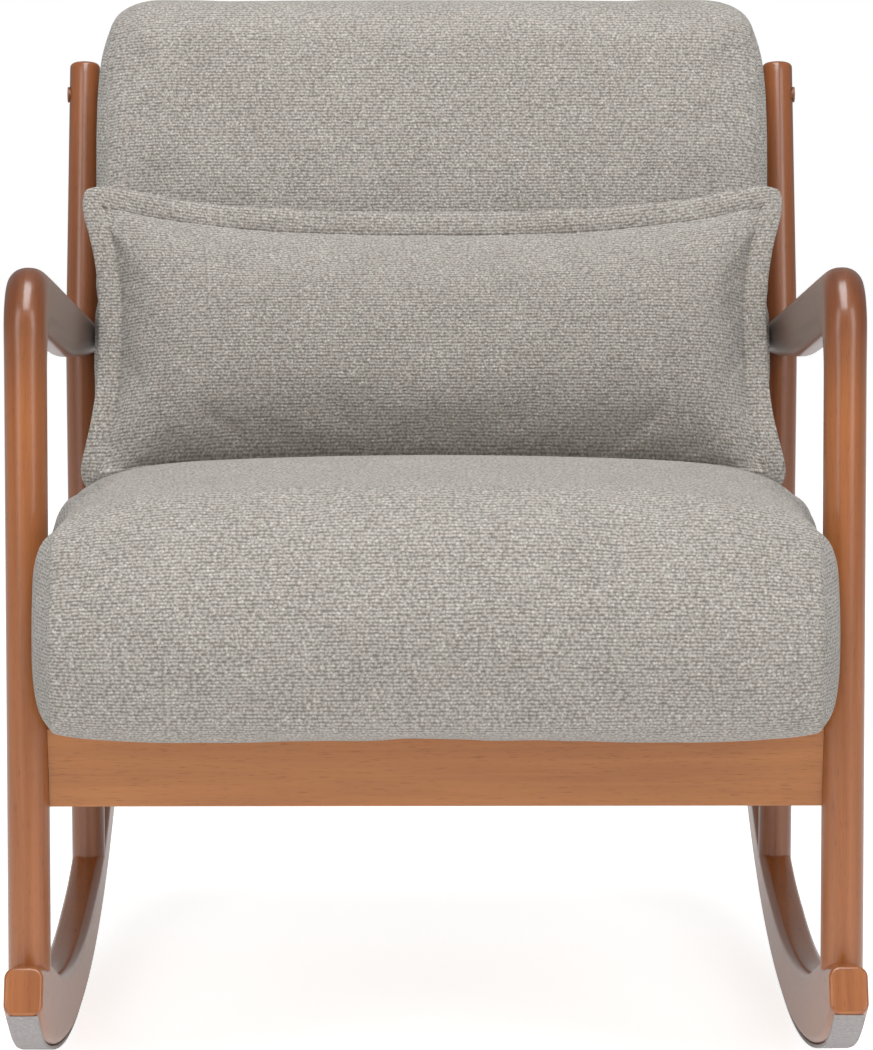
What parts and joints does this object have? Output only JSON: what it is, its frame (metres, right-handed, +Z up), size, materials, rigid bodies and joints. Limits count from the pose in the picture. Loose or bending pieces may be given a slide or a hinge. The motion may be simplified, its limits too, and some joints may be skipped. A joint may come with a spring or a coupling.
{
  "type": "rocking chair",
  "caption": "Upholstered rocking chair with round wooden legs, swept arms, curved rockers with felt strips, a thick seat, a padded back and a loose lumbar pillow.",
  "frame": {"origin": "on the floor, at the bottom centre of the chair's bounding box", "axes": "+Z up, the chair faces -Y, +X is the sitter's left"},
  "size_m": [0.663, 0.8566, 0.8654],
  "materials": {
    "wood": "warm brown stain under a satin-gloss lacquer",
    "frame_wood": "bare sanded hardwood",
    "upholstery": "greige ribbed boucle weave",
    "foam": "soft foam and fibre",
    "webbing": "woven elastic webbing",
    "felt": "pressed felt",
    "steel": "zinc plated",
    "cap": "brown moulded cover"
  },
  "bodies": {
    "chair": {"arm_left": "wood", "arm_right": "wood", "back_bolts": "steel", "back_cover": "upholstery", "back_foam": "foam", "back_rail_bottom": "frame_wood", "back_rail_top": "frame_wood", "back_stile_left": "frame_wood", "back_stile_right": "frame_wood", "back_webbing": "webbing", "barrel_nuts": "steel", "block_screws": "steel", "bolt_caps": "cap", "dowels": "frame_wood", "felt_strip_left": "felt", "felt_strip_right": "felt", "front_corner_block_left": "frame_wood", "front_corner_block_right": "frame_wood", "front_leg_left": "wood", "front_leg_right": "wood", "front_rail": "wood", "post_left": "wood", "post_right": "wood", "rear_corner_block_left": "frame_wood", "rear_corner_block_right": "frame_wood", "rear_rail": "wood", "rocker_left": "wood", "rocker_right": "wood", "seat_cover": "upholstery", "seat_foam": "foam", "seat_frame_front": "frame_wood", "seat_frame_middle": "frame_wood", "seat_frame_rear": "frame_wood", "seat_frame_side_left": "frame_wood", "seat_frame_side_right": "frame_wood", "seat_webbing": "webbing", "side_rail_left": "wood", "side_rail_right": "wood", "stile_screws": "steel"},
    "pillow": {"pillow_cover": "upholstery", "pillow_filling": "foam"}
  },
  "joints": [
    {"name": "pillow_lift", "type": "slide", "parent": "chair", "child": "pillow", "axis": [0, 0.2504, 0.9681], "range_m": [0, 0.35]}
  ]
}
